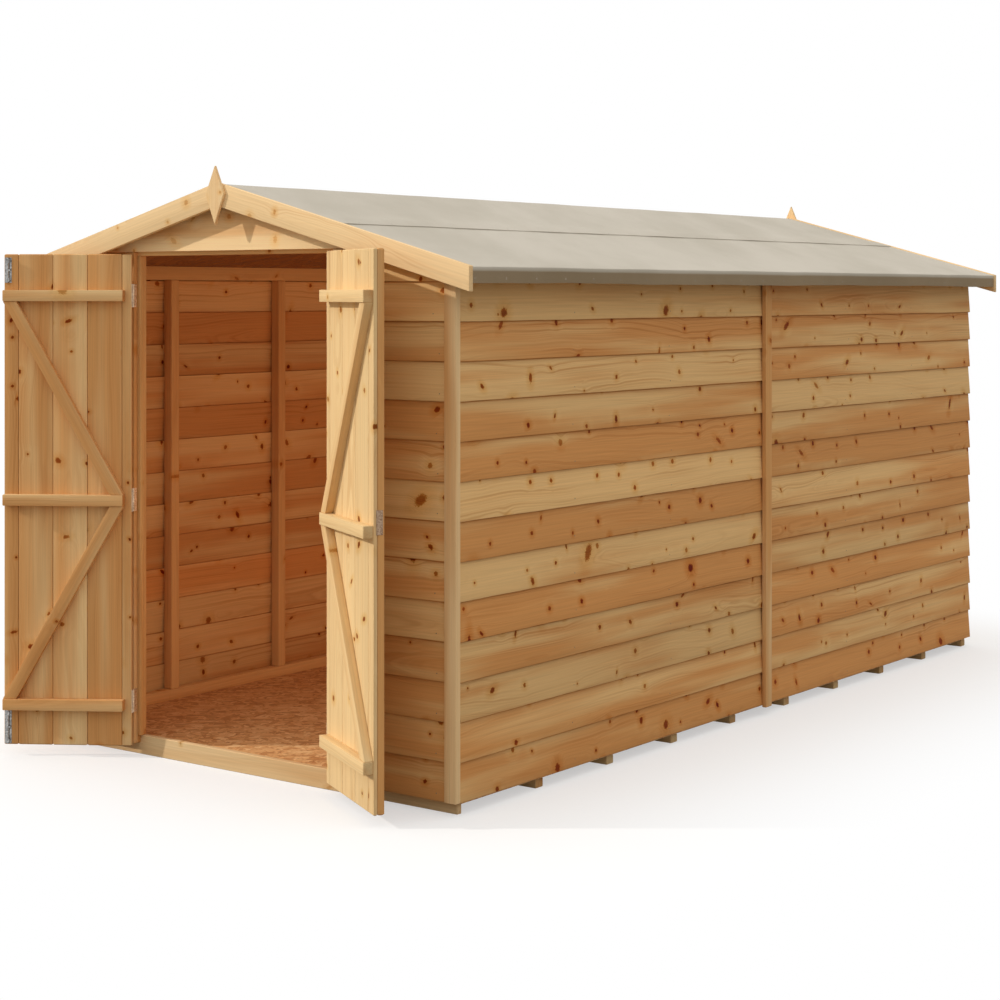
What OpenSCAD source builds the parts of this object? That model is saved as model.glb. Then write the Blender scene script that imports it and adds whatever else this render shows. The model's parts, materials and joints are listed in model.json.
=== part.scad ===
// Wooden garden shed: overlap-clad panels on square framing, a felted apex roof with bargeboards and
// finials, a sheet floor on cross bearers, and two ledged and braced doors that stand open.
// Origin at ground level, in the middle of the plan. The front faces -Y, and X runs along the front.

/* [Walls] */
// Width over the lower edges of the side cladding
shed_w = 1800; // [1500:1:2400]
// Length of the side walls
wall_len = 3546; // [2700:1:4800]
// Height of the cladding's lower edge above the ground
clad_low = 38; // [25:1:50]
// Thickness of a cladding board
board_t = 8; // [6:0.5:12]
// Height of each cladding board that shows
board_cover = 115.2; // [90:0.1:140]
// Overlap of each cladding board over the one below
board_lap = 10; // [6:0.5:20]
// Side of the square framing timber
stud = 38; // [28:1:50]
// Gap between the two panels of a side wall
panel_gap = 2; // [1:0.5:4]

/* [Strips] */
// Width of the corner, door and cover strips
strip_w = 43; // [30:1:60]
// Thickness of the corner strips
corner_t = 22; // [18:1:30]
// Thickness of the cover strips over the side wall joints
cover_t = 16; // [10:1:25]

/* [Floor] */
// Height of the bearers
bearer_h = 27; // [20:1:75]
// Thickness of the floor sheets
floor_t = 11; // [9:1:22]
// Number of bearers behind the threshold
bearer_count = 9; // [5:1:12]
// Distance of the floor's edge in from the framing
floor_in = 5; // [2:1:12]
// Distance of the threshold in from the framing
threshold_in = 13; // [8:1:18]
// Height of the threshold over the floor
threshold_rise = 24; // [15:1:40]
// Thickness of the threshold
threshold_t = 20; // [16:1:30]

/* [Roof] */
// Pitch of the roof in degrees
roof_pitch = 15.1; // [10:0.1:25]
// Height of the bargeboards' apex over the top of the doors
gable_rise = 217; // [190:1:400]
// Distance of the bargeboards' ends out from the side cladding
eave_over = 88; // [60:1:150]
// Distance of the bargeboards' face out from the framing
front_over = 73; // [60:1:120]
// Thickness of the roof sheets
sheet_t = 12; // [9:1:18]
// Thickness of the roofing felt
felt_t = 3; // [2:0.5:5]
// Depth of the felt turned down over the eaves
felt_drop = 44; // [42:1:80]
// Overlap of the ridge felt over the lower felt
felt_lap = 75; // [50:1:120]
// Height of the eaves battens
batten_h = 28; // [20:1:34]
// Depth of a bargeboard measured plumb
barge_h = 73; // [60:1:90]
// Thickness of a bargeboard
barge_t = 18; // [12:1:25]
// Width of a finial
finial_w = 78; // [50:1:100]
// Reach of a finial above its centre
finial_up = 88; // [60:1:120]
// Reach of a finial below its centre
finial_down = 96; // [60:1:120]
// Thickness of a finial
finial_t = 10; // [8:1:20]

/* [Doors] */
// Width of each door
door_w = 421; // [350:1:500]
// Height of each door
door_h = 1594; // [1400:1:1800]
// Height of the doors' lower edge above the ground
door_low = 35; // [25:1:50]
// Thickness of the door boards
door_t = 12; // [10:1:18]
// Running gap round the doors
door_gap = 5; // [4:0.5:7]
// Cover width of a door board
door_board = 114; // [80:1:140]
// Width of the narrow board at the hinges
edge_board = 32; // [20:1:60]
// Height of a ledge
ledge_h = 36; // [28:1:60]
// Thickness of the ledges
ledge_t = 30; // [20:1:34]
// Distance of the ledges from the hinge edge
ledge_in = 22; // [20:1:40]
// Distance of the upper ledge's middle below the door's top
ledge_top = 135; // [120:1:180]
// Distance of the lower ledge's middle above the door's bottom
ledge_bottom = 134; // [110:1:180]
// Width of a brace
brace_w = 38; // [28:1:50]
// Height of a hinge
hinge_h = 75; // [60:1:100]
// Radius of a hinge knuckle
knuckle_r = 4; // [3.5:0.1:4.2]
// Radius of a hinge pin
pin_r = 2; // [1.5:0.1:2.5]
// Width of the batten on the right door's meeting edge
batten_w = 44; // [30:1:60]
// Thickness of the batten on the right door's meeting edge
batten_t = 21; // [10:1:25]
// Width of a tower bolt
bolt_w = 22; // [18:1:26]
// Radius of a tower bolt's rod
bolt_r = 4; // [3:0.5:4.5]
// Angle by which the left door stands short of its widest opening
left_ease = 2.5; // [0:0.1:20]

/* [Hidden] */

// Overrun of every cut past the face that it opens
overrun = 10;
// Gap between timbers that are cut to fit each other
fit_gap = 0.3;
// Places of a side panel's studs along it, and of the rear wall's studs across it
stud_shares = [0, 0.321, 0.646, 1];
rear_shares = [0, 0.333, 0.667, 1];

// Cladding boards taper outwards: each rests on the one below and touches the framing at its top
clad_tip = board_t * (2 + board_lap / board_cover);
frame_x = shed_w / 2 - clad_tip;
frame_y = wall_len / 2;
inner_x = frame_x - stud;
inner_y = frame_y - stud;

// Floor levels and edges
floor_top = bearer_h + floor_t;
threshold_top = floor_top + threshold_rise;
floor_x = frame_x - floor_in;
threshold_y = -frame_y + threshold_in;
floor_front = threshold_y + threshold_t;
floor_rear = frame_y - floor_in;
bearer_first = threshold_y + stud / 2;
bearer_step = (floor_rear - stud / 2 - bearer_first) / bearer_count;

// Doorway: hinge edges, reveals, stops and the header behind the doors' top edges
hinge_x = door_w + door_gap / 2;
reveal_x = hinge_x + door_gap;
door_top = door_low + door_h;
header_overlap = 6;
header_low = door_top - header_overlap;
gable_gap = 7;
gable_low = door_top + gable_gap;
stop_w = 12;
stop_t = 16;
door_in_y = -frame_y - door_gap;
door_out_y = door_in_y - door_t;
trim_t = door_gap + door_t;
gable_t = 16;

// Roof levels: the bargeboards stand a little proud of the felt
slope = tan(roof_pitch);
ridge_h = door_top + gable_rise;
barge_lip = 4;
felt_plumb = felt_t / cos(roof_pitch);
felt_bed = 0.1;
sheet_plumb = sheet_t / cos(roof_pitch);
rafter_plumb = stud / cos(roof_pitch);
eave_x = shed_w / 2 + eave_over;
eave_gap = 5;
felt_x = eave_x - eave_gap;
sheet_x = felt_x - felt_t;
barge_y = frame_y + front_over;
roof_y = barge_y - barge_t;
apex_gap = 0.5;
lap_share = 0.51;
lap_x = eave_x * lap_share;
lap_in_x = lap_x - felt_lap;
lap_ramp = 30;
finial_z = ridge_h - barge_h / 2;

// Hinge pins stand in front of the doors, and the doors open until they come near the bargeboards
leaf_t = 2;
pivot_out = knuckle_r;
pivot_x = hinge_x + door_gap / 2;
pivot_y = door_out_y - pivot_out;
pin_fit = 0.1;
knuckle_gap = 0.5;
leaf_back = 6;
swing_x = (ridge_h - barge_h - door_top - door_gap) / slope - pivot_x;
widest_open = 180 - atan2(pivot_y + barge_y, swing_x);
left_open = widest_open - left_ease;
right_open = widest_open;

// Heights of the ledges and of the hinges, of which the lowest stands a little over its ledge's middle
ledge_end = 3;
hinge_lift = 10;
ledge_low_z = door_low + ledge_bottom;
ledge_high_z = door_top - ledge_top;
ledge_zs = [ledge_low_z, (ledge_low_z + ledge_high_z) / 2, ledge_high_z];
hinge_zs = [ledge_zs[0] + hinge_lift, ledge_zs[1], ledge_zs[2]];
brace_set = 4;
groove_w = 4;
groove_d = 2;

// Door furniture
bolt_plate_t = 2;
bolt_edge = 3;
bolt_stand = 1;
bolt_end = 4;
bolt_rise = 24;
bolt_guide_h = 12;
bolt_guide_w = 13;
bolt_knob_r = 3.5;
bolt_knob_h = 9;
lock_w = 20;
lock_h = 70;
lock_t = 1;
lock_rise = 26;
lock_in = 8;

// Height of the roof sheets' underside and top, and of the rafters' underside, at a distance from the middle
function roof_low(x) = ridge_h - barge_lip - felt_plumb - sheet_plumb - slope * abs(x);
function sheet_top(x) = roof_low(x) + sheet_plumb;
function rafter_low(x) = roof_low(x) - rafter_plumb;

// Underside and top of the felt on its bed, and underside of the second layer where one felt laps over another
function felt_low(x) = sheet_top(x) + felt_bed;
function felt_top(x) = felt_low(x) + felt_plumb;
function lap_low(x) = felt_top(x) + felt_bed;
function lap_top(x) = lap_low(x) + felt_plumb;

// Section of the overlap cladding up to a height, as points of distance out from the framing and height
function clad_z(k) = clad_low + k * board_cover;
function clad_out(rise) = clad_tip - board_t * rise / board_cover;
function clad_count(top) = ceil((top - clad_low - board_lap) / board_cover);
function board_face(k, end) = [
    [clad_out(0), clad_z(k)],
    [clad_out(end - clad_z(k)), end]
];
function board_back(k, start, end) = [
    [clad_out(end - clad_z(k)) - board_t, end],
    [clad_out(start) - board_t, clad_z(k) + start]
];
function clad_section(top) =
    let (n = clad_count(top))
    concat(
        [for (k = [0 : n - 1]) each board_face(k, k == n - 1 ? top : clad_z(k + 1))],
        [for (k = [n - 1 : -1 : 0])
            each board_back(k, k == 0 ? 0 : board_lap, k == n - 1 ? top : clad_z(k + 1) + board_lap)]
    );

// A timber between two opposite corners
module block(lo, hi) {
    translate(lo) cube(hi - lo);
}

// An outline in X and Z carried along Y
module along_y(y0, y1) {
    translate([0, y1, 0]) rotate([90, 0, 0]) linear_extrude(y1 - y0) children();
}

// An outline of distance out from the front framing, and Z, carried along X
module along_front(x0, x1) {
    translate([x1, -frame_y, 0]) rotate([0, 0, -90]) rotate([90, 0, 0]) linear_extrude(x1 - x0) children();
}

module both_sides() {
    children();
    mirror([1, 0, 0]) children();
}

module at_rear() {
    mirror([0, 1, 0]) children();
}

// The space under the roof sheets, or under the rafters, over the whole plan
module under_slope(drop) {
    along_y(-barge_y, barge_y)
        polygon([
            [-eave_x, 0], [eave_x, 0], [eave_x, roof_low(eave_x) - drop],
            [0, roof_low(0) - drop], [-eave_x, roof_low(eave_x) - drop]
        ]);
}

// A sloping timber under a line of the roof, on the right, between two distances from the middle
module slope_outline(x0, x1, top0, top1, depth) {
    polygon([[x0, top0], [x1, top1], [x1, top1 - depth], [x0, top0 - depth]]);
}

module rafter_pair(y0, y1) {
    both_sides()
        along_y(y0, y1)
            slope_outline(apex_gap, inner_x, roof_low(apex_gap), roof_low(inner_x), rafter_plumb);
}

module floor_bearers() {
    color("tan")
        for (k = [1 : bearer_count])
            let (y = bearer_first + k * bearer_step)
                block([-floor_x, y - stud / 2, 0], [floor_x, y + stud / 2, bearer_h]);
}

module floor_sheets() {
    joint_y = bearer_first + ceil(bearer_count / 2) * bearer_step;
    color("sienna") {
        block([-floor_x, floor_front, bearer_h], [floor_x, joint_y - panel_gap / 2, floor_top]);
        block([-floor_x, joint_y + panel_gap / 2, bearer_h], [floor_x, floor_rear, floor_top]);
    }
}

// Board along the floor's front edge, which stands up over the floor between the door posts
module threshold() {
    raised_x = reveal_x - fit_gap;
    color("burlywood")
        along_y(threshold_y, floor_front)
            polygon([
                [-floor_x, 0], [floor_x, 0], [floor_x, floor_top], [raised_x, floor_top],
                [raised_x, threshold_top], [-raised_x, threshold_top],
                [-raised_x, floor_top], [-floor_x, floor_top]
            ]);
}

// Right-hand cladding between two places along the wall
module side_cladding(y0, y1) {
    color("peru")
        along_y(y0, y1)
            translate([frame_x, 0]) polygon(clad_section(roof_low(shed_w / 2)));
}

// Right-hand frame of a panel: a rail below, a bevelled rail above and studs cut in between
module side_frame(y0, y1) {
    eave_low = roof_low(frame_x) - stud;
    block([inner_x, y0, floor_top], [frame_x, y1, floor_top + stud]);
    along_y(y0, y1)
        polygon([
            [inner_x, eave_low], [frame_x, eave_low],
            [frame_x, roof_low(frame_x)], [inner_x, roof_low(inner_x)]
        ]);
    for (share = stud_shares)
        let (y = y0 + share * (y1 - y0 - stud))
            block([inner_x, y, floor_top + stud + fit_gap], [frame_x, y + stud, eave_low - fit_gap]);
}

module wall_frames() {
    color("chocolate") {
        side_frame(-frame_y, -panel_gap / 2);
        at_rear() side_frame(-frame_y, -panel_gap / 2);
    }
}

module right_front_cladding() {
    side_cladding(-frame_y, -panel_gap / 2);
}

module right_rear_cladding() {
    side_cladding(panel_gap / 2, frame_y);
}

module right_wall_frames() {
    wall_frames();
}

module left_front_cladding() {
    mirror([1, 0, 0]) right_front_cladding();
}

module left_rear_cladding() {
    mirror([1, 0, 0]) right_rear_cladding();
}

module left_wall_frames() {
    mirror([1, 0, 0]) wall_frames();
}

// Strips over the joints between the side panels, from just below the boards up to the eaves
module cover_strips() {
    color("peru")
        both_sides()
            block(
                [shed_w / 2, -strip_w / 2, clad_low - board_t],
                [shed_w / 2 + cover_t, strip_w / 2, roof_low(shed_w / 2 + cover_t)]
            );
}

// Right-hand cladding between the door strip and the corner strip, up to the gable board
module front_cladding() {
    color("peru")
        intersection() {
            along_front(reveal_x + strip_w, shed_w / 2 - strip_w) polygon(clad_section(gable_low));
            under_slope(0);
        }
}

module front_right_cladding() {
    front_cladding();
}

module front_left_cladding() {
    mirror([1, 0, 0]) front_cladding();
}

module front_gable() {
    gable_x = shed_w / 2 - strip_w;
    color("navajowhite")
        intersection() {
            block([-gable_x, -frame_y - gable_t, gable_low], [gable_x, -frame_y, ridge_h]);
            under_slope(0);
        }
}

// Right-hand front frame: a rail beside the doorway, a corner stud and the door post
module front_frame() {
    post_low = floor_top + stud + fit_gap;
    color("chocolate") {
        block([reveal_x, -frame_y, floor_top], [inner_x, -inner_y, floor_top + stud]);
        block([reveal_x, -frame_y, post_low], [reveal_x + stud, -inner_y, header_low]);
        intersection() {
            block([inner_x - stud, -frame_y, post_low], [inner_x, -inner_y, ridge_h]);
            under_slope(rafter_plumb + fit_gap);
        }
    }
}

module front_right_frame() {
    front_frame();
}

module front_left_frame() {
    mirror([1, 0, 0]) front_frame();
}

// Rail over the doorway, on the door posts, which the doors' top edges close against
module door_header() {
    header_x = reveal_x + stud;
    color("chocolate")
        intersection() {
            block([-header_x, -frame_y, header_low], [header_x, -inner_y, header_low + stud]);
            under_slope(rafter_plumb);
        }
}

module front_rafters() {
    color("chocolate") rafter_pair(-frame_y, -inner_y);
}

module door_stops() {
    color("burlywood")
        both_sides()
            block([reveal_x - stop_w, -frame_y, threshold_top], [reveal_x, -frame_y + stop_t, header_low]);
}

// Strips at the front corners, cut to the roof, and thinner ones that frame the doorway
module front_strips() {
    color("burlywood")
        both_sides() {
            intersection() {
                block(
                    [shed_w / 2 - strip_w, -frame_y - corner_t, clad_low],
                    [shed_w / 2, -frame_y, ridge_h]
                );
                under_slope(0);
            }
            block([reveal_x, -frame_y - trim_t, clad_low], [reveal_x + strip_w, -frame_y, gable_low]);
        }
}

module rear_cladding() {
    clad_x = frame_x - strip_w;
    color("peru")
        at_rear()
            intersection() {
                along_front(-clad_x, clad_x) polygon(clad_section(ridge_h));
                under_slope(0);
            }
}

module rear_frame() {
    color("chocolate")
        at_rear() {
            block([-inner_x, -frame_y, floor_top], [inner_x, -inner_y, floor_top + stud]);
            intersection() {
                for (share = rear_shares)
                    let (x = -inner_x + share * (2 * inner_x - stud))
                        block([x, -frame_y, floor_top + stud + fit_gap], [x + stud, -inner_y, ridge_h]);
                under_slope(rafter_plumb + fit_gap);
            }
        }
}

module rear_rafters() {
    color("chocolate") rafter_pair(inner_y, frame_y);
}

// Strips beside the rear cladding, in line with the side framing
module rear_strips() {
    color("burlywood")
        both_sides()
            intersection() {
                block([frame_x - strip_w, frame_y, clad_low], [frame_x, frame_y + corner_t, ridge_h]);
                under_slope(0);
            }
}

module mid_rafters() {
    color("chocolate") rafter_pair(-stud / 2, stud / 2);
}

// Right-hand roof sheets, one over each pair of panels
module roof_sheets() {
    color("sienna")
        for (span = [[-roof_y, -panel_gap / 2], [panel_gap / 2, roof_y]])
            along_y(span[0], span[1])
                slope_outline(apex_gap, sheet_x, sheet_top(apex_gap), sheet_top(sheet_x), sheet_plumb);
}

module roof_right_sheets() {
    roof_sheets();
}

module roof_left_sheets() {
    mirror([1, 0, 0]) roof_sheets();
}

// Battens under the eaves that the felt is turned down over
module eaves_battens() {
    batten_x = sheet_x - stud;
    batten_low = roof_low(sheet_x) - batten_h;
    color("tan")
        both_sides()
            along_y(-roof_y, roof_y)
                polygon([
                    [batten_x, batten_low], [sheet_x, batten_low],
                    [sheet_x, roof_low(sheet_x)], [batten_x, roof_low(batten_x)]
                ]);
}

// Right-hand lower felt, turned down at the eaves
module lower_felt() {
    lip_low = sheet_top(sheet_x) - felt_drop;
    color("darkgray")
        along_y(-roof_y, roof_y)
            polygon([
                [lap_in_x, felt_low(lap_in_x)], [sheet_x, felt_low(sheet_x)],
                [sheet_x, lip_low], [felt_x, lip_low],
                [felt_x, felt_top(felt_x)], [lap_in_x, felt_top(lap_in_x)]
            ]);
}

module felt_right() {
    lower_felt();
}

module felt_left() {
    mirror([1, 0, 0]) lower_felt();
}

// Felt over the ridge, which steps up where it laps over the lower felt
module felt_ridge() {
    ramp_x = lap_in_x - lap_ramp;
    right_low = [
        [lap_in_x, felt_low(lap_in_x)],
        [lap_in_x, lap_low(lap_in_x)],
        [lap_x, lap_low(lap_x)]
    ];
    right_top = [
        [lap_x, lap_top(lap_x)],
        [lap_in_x, lap_top(lap_in_x)],
        [ramp_x, felt_top(ramp_x)]
    ];
    right_side = concat(right_low, right_top);
    color("darkgray")
        along_y(-roof_y, roof_y)
            polygon(concat(
                [[0, felt_low(0)]],
                right_side,
                [[0, felt_top(0)]],
                [for (i = [len(right_side) - 1 : -1 : 0]) [-right_side[i][0], right_side[i][1]]]
            ));
}

// Pair of bargeboards on the front, cut plumb at the apex and at the eaves
module barge_pair() {
    color("wheat")
        both_sides()
            along_y(-barge_y, -roof_y)
                slope_outline(apex_gap, eave_x, ridge_h - slope * apex_gap, ridge_h - slope * eave_x, barge_h);
}

module front_barges() {
    barge_pair();
}

module rear_barges() {
    at_rear() barge_pair();
}

// Tall diamond over the joint of the bargeboards
module finial() {
    color("wheat")
        along_y(-barge_y - finial_t, -barge_y)
            translate([0, finial_z])
                polygon([[finial_w / 2, 0], [0, finial_up], [-finial_w / 2, 0], [0, -finial_down]]);
}

module finials() {
    finial();
    at_rear() finial();
}

// One leaf of a butt hinge on the left of the doorway, with the knuckles in the given thirds
module hinge_leaf(x0, x1, thirds, bore) {
    third_h = hinge_h / 3;
    leaf_front = pivot_y + knuckle_r + knuckle_gap;
    difference() {
        union() {
            block([x0, leaf_front, -hinge_h / 2], [x1, -frame_y - leaf_back, hinge_h / 2]);
            for (k = thirds)
                let (low = -hinge_h / 2 + k * third_h + knuckle_gap / 2, high = low + third_h - knuckle_gap) {
                    translate([-pivot_x, pivot_y, low]) cylinder(r = knuckle_r, h = high - low, $fn = 48);
                    block([x0, pivot_y, low], [x1, leaf_front, high]);
                }
        }
        translate([-pivot_x, pivot_y, -hinge_h / 2 - overrun])
            cylinder(r = bore, h = hinge_h + 2 * overrun, $fn = 48);
    }
}

module frame_leaf() {
    hinge_leaf(-reveal_x, -reveal_x + leaf_t, [0, 2], pin_r);
    translate([-pivot_x, pivot_y, -hinge_h / 2]) cylinder(r = pin_r, h = hinge_h, $fn = 48);
}

module hinge_frame_leaves() {
    color("silver")
        both_sides()
            for (z = hinge_zs)
                translate([0, 0, z]) frame_leaf();
}

// A piece of the left door as it stands when closed, swung open about the hinge pins
module swung(angle) {
    translate([-pivot_x, pivot_y, 0])
        rotate([0, 0, -angle])
            translate([pivot_x, -pivot_y, 0])
                children();
}

module left_swung() {
    swung(left_open) children();
}

module right_swung() {
    mirror([1, 0, 0]) swung(right_open) children();
}

// Matched boards of a door in plan, with a V joint between boards on both faces
module door_boards() {
    joints = [for (x = -hinge_x + edge_board; x < -door_gap / 2 - groove_w; x = x + door_board) x];
    function face(y, inward) = [
        for (x = joints)
            each [[x - groove_w / 2, y], [x, y + inward * groove_d], [x + groove_w / 2, y]]
    ];
    function reversed(points) = [for (i = [len(points) - 1 : -1 : 0]) points[i]];
    color("burlywood")
        translate([0, 0, door_low])
            linear_extrude(door_h)
                polygon(concat(
                    [[-hinge_x, door_out_y]],
                    face(door_out_y, 1),
                    [[-door_gap / 2, door_out_y], [-door_gap / 2, door_in_y]],
                    reversed(face(door_in_y, -1)),
                    [[-hinge_x, door_in_y]]
                ));
}

module door_ledges() {
    color("burlywood")
        for (z = ledge_zs)
            block(
                [-hinge_x + ledge_in, door_in_y, z - ledge_h / 2],
                [-door_gap / 2 - ledge_end, door_in_y + ledge_t, z + ledge_h / 2]
            );
}

// Braces from the meeting edge at the outer ledges to the hinge side at the middle ledge
module door_braces() {
    hinge_end = -hinge_x + ledge_in;
    free_end = -door_gap / 2 - ledge_end;
    color("burlywood")
        for (outer = [0, 2])
            let (
                side = outer - 1,
                far_z = ledge_zs[outer] - side * ledge_h / 2,
                mid_z = ledge_zs[1] + side * ledge_h / 2,
                lean = atan2(free_end - hinge_end - brace_w, abs(far_z - mid_z)),
                cut_w = brace_w / cos(lean)
            )
                along_y(door_in_y, door_in_y + ledge_t - brace_set)
                    polygon([
                        [free_end - cut_w, far_z], [free_end, far_z],
                        [hinge_end + cut_w, mid_z], [hinge_end, mid_z]
                    ]);
}

module door_hinges() {
    color("silver")
        for (z = hinge_zs)
            translate([0, 0, z]) hinge_leaf(-hinge_x - leaf_t, -hinge_x, [1], pin_r + pin_fit);
}

// Tower bolt between two heights on the inner face: back plate, rod, two guides and a knob
module tower_bolt(low, high) {
    bolt_x = -door_gap / 2 - bolt_edge - bolt_w / 2;
    rod_y = door_in_y + bolt_plate_t + bolt_stand + bolt_r;
    guide_y = rod_y + bolt_r + bolt_stand;
    block([bolt_x - bolt_w / 2, door_in_y, low], [bolt_x + bolt_w / 2, door_in_y + bolt_plate_t, high]);
    translate([bolt_x, rod_y, low]) cylinder(r = bolt_r, h = high - low, $fn = 48);
    for (z = [low + bolt_end, high - bolt_end - bolt_guide_h])
        block(
            [bolt_x - bolt_guide_w / 2, door_in_y + bolt_plate_t, z],
            [bolt_x + bolt_guide_w / 2, guide_y, z + bolt_guide_h]
        );
    translate([bolt_x, rod_y, (low + high) / 2])
        rotate([0, -90, 0]) cylinder(r = bolt_knob_r, h = bolt_knob_h, $fn = 48);
}

module door_bolts() {
    color("silver") {
        tower_bolt(door_low + bolt_end, ledge_zs[0] - ledge_h / 2 - bolt_end);
        tower_bolt(ledge_zs[2] + ledge_h / 2 + bolt_rise, header_low - door_gap);
    }
}

module left_door_boards() {
    left_swung() door_boards();
}

module left_door_ledges() {
    left_swung() door_ledges();
}

module left_door_braces() {
    left_swung() door_braces();
}

module left_door_hinges() {
    left_swung() door_hinges();
}

module left_door_bolts() {
    left_swung() door_bolts();
}

module right_door_boards() {
    right_swung() door_boards();
}

module right_door_ledges() {
    right_swung() door_ledges();
}

module right_door_braces() {
    right_swung() door_braces();
}

module right_door_hinges() {
    right_swung() door_hinges();
}

// Batten on the outer face, flush with the meeting edge
module right_door_batten() {
    color("burlywood")
        right_swung()
            block(
                [-door_gap / 2 - batten_w, door_out_y - batten_t, door_low],
                [-door_gap / 2, door_out_y, door_top]
            );
}

// Plate on the meeting edge, over the joint between the boards and the batten
module right_lock_plate() {
    lock_z = ledge_zs[1] + lock_rise;
    color("silver")
        right_swung()
            block(
                [-door_gap / 2, door_in_y - lock_in - lock_w, lock_z - lock_h / 2],
                [-door_gap / 2 + lock_t, door_in_y - lock_in, lock_z + lock_h / 2]
            );
}

floor_bearers();
floor_sheets();
threshold();
right_front_cladding();
right_rear_cladding();
right_wall_frames();
left_front_cladding();
left_rear_cladding();
left_wall_frames();
cover_strips();
front_left_cladding();
front_right_cladding();
front_gable();
front_left_frame();
front_right_frame();
door_header();
front_rafters();
door_stops();
front_strips();
rear_cladding();
rear_frame();
rear_rafters();
rear_strips();
mid_rafters();
roof_left_sheets();
roof_right_sheets();
eaves_battens();
felt_left();
felt_right();
felt_ridge();
front_barges();
rear_barges();
finials();
hinge_frame_leaves();
left_door_boards();
left_door_ledges();
left_door_braces();
left_door_hinges();
left_door_bolts();
right_door_boards();
right_door_ledges();
right_door_braces();
right_door_hinges();
right_door_batten();
right_lock_plate();
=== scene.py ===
"""The garden shed's looks: boards, timbers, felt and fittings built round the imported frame."""

import json
import math

import bpy
import numpy as np
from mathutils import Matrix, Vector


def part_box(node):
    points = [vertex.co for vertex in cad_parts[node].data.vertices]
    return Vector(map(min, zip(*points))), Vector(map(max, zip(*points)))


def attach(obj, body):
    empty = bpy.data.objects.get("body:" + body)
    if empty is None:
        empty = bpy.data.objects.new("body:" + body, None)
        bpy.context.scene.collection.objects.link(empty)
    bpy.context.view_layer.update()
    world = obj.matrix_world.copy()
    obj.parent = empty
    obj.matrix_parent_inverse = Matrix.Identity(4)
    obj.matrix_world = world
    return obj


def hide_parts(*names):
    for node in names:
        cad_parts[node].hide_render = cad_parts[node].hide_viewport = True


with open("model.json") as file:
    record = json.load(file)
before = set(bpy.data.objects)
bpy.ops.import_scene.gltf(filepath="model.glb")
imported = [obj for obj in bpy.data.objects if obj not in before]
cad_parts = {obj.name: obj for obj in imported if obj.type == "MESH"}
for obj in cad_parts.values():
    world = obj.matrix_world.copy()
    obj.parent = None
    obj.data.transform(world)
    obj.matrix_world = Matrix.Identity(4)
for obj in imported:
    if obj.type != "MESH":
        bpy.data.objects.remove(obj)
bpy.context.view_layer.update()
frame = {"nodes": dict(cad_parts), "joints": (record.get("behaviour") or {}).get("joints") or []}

X_WAY, Y_WAY, Z_WAY = np.eye(3)
FULL_TURN = 2 * math.pi

# Closeness at which two corners of a CAD solid count as one, in metres
MERGE = 1e-4

# Sawn timber: easing of its edges, distance between rings of points, and angle of a sharp edge
EASE = 0.0018
EASE_STEPS = 3
RING_SPACING = 0.12
CREASE_ANGLE = math.radians(38)

# Timbers in their logs: run of the start places, and distances from the heart
LOG_RUN = 90.0
TIMBER_REACH = (0.02, 0.09)
BOARD_REACH = (0.03, 0.08)
PLATE_REACH = (0.04, 0.10)
DOOR_REACH = (0.03, 0.09)

# Tones: spread of lightness and warmth, and what a cut end adds
LIGHT_SPREAD = 0.5
WARMTH_SPREAD = 0.12
BOARD_LIGHT_SPREAD = 0.6
BOARD_WARMTH_SPREAD = 0.08
PLATE_WARMTH_SPREAD = 0.04
DOOR_WARMTH_SPREAD = 0.06
END_TONE = np.array([-2.0, 0.3, 0.0])

# Overlap boards: thickness, hidden lap, eased lip, distance between rings, shortest length and thin end
BOARD_THICK = 0.008
BOARD_LAP = 0.010
BOARD_LIP = 0.0022
BOARD_SPACING = 0.03
SHORTEST_BOARD = 0.05
THIN_END = 0.002

# A board's section: rises and insets of its lip, in lips, and points of the face, the joint and the inner
# face, as shares of its height
LIP_RISES = np.array([0.0, 0.35, 1.0])
LIP_INSETS = np.array([0.9, 0.25])
FACE_SHARES = np.array([0.25, 0.5])
JOINT_SHARE = 0.95
BACK_SHARES = (0.6, 0.4, 0.3)

# A lip's sway and lift along its board, and a seam's height, tone, and share at each point of the section
LIP_SPANS = (1.3, 0.47, 0.19, 0.083)
LIP_SWAYS = (0.0004, 0.0003, 0.0002, 0.0001)
LIP_LIFTS = (0.0003,) * len(LIP_SPANS)
SEAM_RISE = 0.004
# Seam tone darkens the lip's edge and the band under the next lip: painted shade under the lip, with dirt in
# the joint
SEAM_SHADE_AND_DIRT_TONE = np.array([-2.6, 0.9, 0.0])
SEAM_SHADE_AND_DIRT_SHARES = np.array([1, 0.4, 0, 0, 0, 0, 1, 1, 0, 0, 0, 1, 1])

# Warmth of boards from the outside of the log, from its middle and from its heart
SAP_WARMTH = 0.2
MIXED_WARMTH = 0.5
HEART_WARMTH = 0.8

# Door boards: first joint from the hinge edge, board width, joint gap and eased edge
FIRST_JOINT = 0.032
DOOR_COVER = 0.114
JOINT_GAP = 0.0008
DOOR_EASE = 0.0028
BATTEN_EASE = 0.0036

# Roofing felt: thickness, bend at the eaves, waviness, and distance between rings
FELT_THICK = 0.003
FELT_BEND = 0.0035
FELT_SPACING = 0.05
FELT_SPANS = (2.3, 0.83, 0.31)
FELT_SWAYS = (0.0006, 0.0005, 0.0003)
FELT_EDGE_SWAYS = (0.0012, 0.0009, 0.0006)

# Steps of the felts' sections on the slope, bend, edge and lap, and sizes beside the lap and the ridge
SLOPE_STEPS = 9
BEND_STEPS = 5
DROP_STEPS = 4
LAP_STEPS = 5
LAP_RAMP = 0.03
CROWN_OUT = 0.02
CROWN_IN = 0.008
CROWN_DROP = 0.001

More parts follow.
